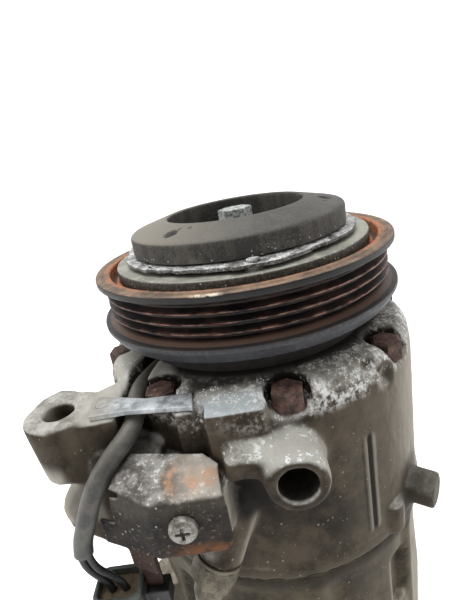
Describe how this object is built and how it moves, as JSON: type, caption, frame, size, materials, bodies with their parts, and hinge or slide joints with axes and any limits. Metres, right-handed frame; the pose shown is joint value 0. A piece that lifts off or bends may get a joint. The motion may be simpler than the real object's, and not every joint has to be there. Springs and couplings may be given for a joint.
{
  "type": "automotive ac compressor",
  "caption": "Belt-driven car air-conditioning compressor with a grooved clutch pulley, bolted castings, a mounting ear, a relief valve and a short coil lead with a connector.",
  "frame": {"origin": "on the shaft's axis, in the plane of the machined rear face the compressor stands on", "axes": "+Z along the shaft towards the clutch hub; -Y towards the side with the cross hole, the relief valve and the lead; +Y towards the ports' pad"},
  "size_m": [0.1487, 0.1757, 0.221],
  "materials": {
    "pulley_steel": "worn black finish, brown rust",
    "rotor_steel": "rusty friction face",
    "bearing_steel": "ground",
    "cage_plastic": "matt",
    "seal_rubber": "matt black",
    "spring_steel": "dark, oiled",
    "coil_steel": "dull black, dusty",
    "coil_resin": "potting resin",
    "hub_steel": "charcoal grey, dusty",
    "stopper_steel": "grey with white corrosion",
    "armature_steel": "grey with an olive tint",
    "rivet_steel": "dull",
    "hub_bolt_steel": "pale corrosion",
    "counterweight_iron": "as cast",
    "scroll_aluminium": "machined",
    "tip_seal_plastic": "matt",
    "front_casting": "as cast, dirty, white corrosion",
    "rear_casting": "as cast, stained",
    "housing_bolt_steel": "brown rust",
    "copper_washer": "dull copper",
    "relief_steel": "dull beige grey",
    "zinc_strap": "bright zinc",
    "screw_steel": "dull grey",
    "cover_steel": "dark brown, orange rust",
    "sheath_plastic": "dark olive grey, satin",
    "wire_insulation": "black",
    "connector_plastic": "dark green-grey, dusty",
    "terminal_brass": "tinned brass"
  },
  "bodies": {
    "body": {"bearing_inner_race": "bearing_steel", "nose_circlip": "spring_steel", "coil_shell": "coil_steel", "coil_winding": "coil_resin", "coil_circlip": "spring_steel", "shaft_seal": "seal_rubber", "seal_circlip": "spring_steel", "main_bearing_outer_race": "bearing_steel", "fixed_scroll": "scroll_aluminium", "fixed_tip_seal": "tip_seal_plastic", "coupling_fixed_ring": "bearing_steel", "reed_stop": "spring_steel", "reed_screw": "rivet_steel", "front_housing": "front_casting", "rear_housing": "rear_casting", "seam_seal_ring": "seal_rubber", "housing_bolts": "housing_bolt_steel", "dowel_pins": "bearing_steel", "relief_washer": "copper_washer", "relief_valve": "relief_steel", "relief_spring": "spring_steel", "clamp_strap": "zinc_strap", "strap_pin": "screw_steel", "cover_plate": "cover_steel", "cover_screw": "screw_steel", "lead_sheath": "sheath_plastic", "lead_wire_a": "wire_insulation", "lead_wire_b": "wire_insulation", "connector_body": "connector_plastic", "connector_seal": "seal_rubber", "connector_terminals": "terminal_brass"},
    "pulley": {"pulley_rim": "pulley_steel", "rotor": "rotor_steel", "bearing_outer_race": "bearing_steel", "bearing_seals": "seal_rubber", "rotor_circlip": "spring_steel"},
    "pulley_balls": {"bearing_balls": "bearing_steel", "bearing_cage": "cage_plastic"},
    "shaft": {"shaft": "bearing_steel", "hub_core": "hub_steel", "hub_cup": "hub_steel", "hub_rubber": "seal_rubber", "hub_bolt": "hub_bolt_steel", "airgap_shim": "spring_steel", "main_bearing_inner_race": "bearing_steel", "drive_bush": "bearing_steel", "counterweight": "counterweight_iron"},
    "armature": {"armature_plate": "armature_steel", "carrier_ring": "hub_steel", "stopper_plate": "stopper_steel", "plate_rivets": "rivet_steel"},
    "main_cage": {"main_bearing_balls": "bearing_steel", "main_bearing_cage": "cage_plastic"},
    "orbiting": {"orbiting_scroll": "scroll_aluminium", "orbiting_tip_seal": "tip_seal_plastic", "coupling_orbiting_ring": "bearing_steel"},
    "coupling": {"coupling_balls": "bearing_steel"},
    "needles": {"drive_needles": "bearing_steel"},
    "reed": {"reed_valve": "spring_steel"},
    "poppet": {"relief_poppet": "relief_steel"}
  },
  "joints": [
    {"name": "pulley_spin", "type": "hinge", "parent": "body", "child": "pulley", "pos_m": [0, 0, 0.19], "axis": [0, 0, 1], "continuous": true},
    {"name": "pulley_ball_spin", "type": "hinge", "parent": "body", "child": "pulley_balls", "pos_m": [0, 0, 0.187], "axis": [0, 0, 1], "continuous": true},
    {"name": "shaft_spin", "type": "hinge", "parent": "body", "child": "shaft", "pos_m": [0, 0, 0.145], "axis": [0, 0, 1], "continuous": true},
    {"name": "armature_pull_in", "type": "slide", "parent": "shaft", "child": "armature", "axis": [0, 0, 1], "range_m": [-0.0005, 0], "stiffness_N_per_m": 20000},
    {"name": "main_cage_spin", "type": "hinge", "parent": "body", "child": "main_cage", "pos_m": [0, 0, 0.145], "axis": [0, 0, 1], "continuous": true},
    {"name": "scroll_counterturn", "type": "hinge", "parent": "shaft", "child": "orbiting", "pos_m": [0.004, 0, 0.11], "axis": [0, 0, 1], "continuous": true},
    {"name": "coupling_ball_turn", "type": "hinge", "parent": "shaft", "child": "coupling", "pos_m": [0.002, 0, 0.109], "axis": [0, 0, 1], "continuous": true},
    {"name": "needle_turn", "type": "hinge", "parent": "shaft", "child": "needles", "pos_m": [0.004, 0, 0.112], "axis": [0, 0, 1], "continuous": true},
    {"name": "reed_lift", "type": "hinge", "parent": "body", "child": "reed", "pos_m": [-0.024, 0, 0.0517], "axis": [0, 1, 0], "range_deg": [0, 6], "stiffness_Nm_per_rad": 0.05},
    {"name": "relief_lift", "type": "slide", "parent": "body", "child": "poppet", "axis": [-0.419, -0.1896, -0.888], "range_m": [0, 0.0012], "stiffness_N_per_m": 15000, "springref_m": -0.001}
  ],
  "couplings": [
    {"joint": "pulley_ball_spin", "follows": "pulley_spin", "ratio": 0.56667},
    {"joint": "main_cage_spin", "follows": "shaft_spin", "ratio": 0.39851},
    {"joint": "scroll_counterturn", "follows": "shaft_spin", "ratio": -1},
    {"joint": "coupling_ball_turn", "follows": "shaft_spin", "ratio": -1},
    {"joint": "needle_turn", "follows": "shaft_spin", "ratio": -0.5543}
  ]
}
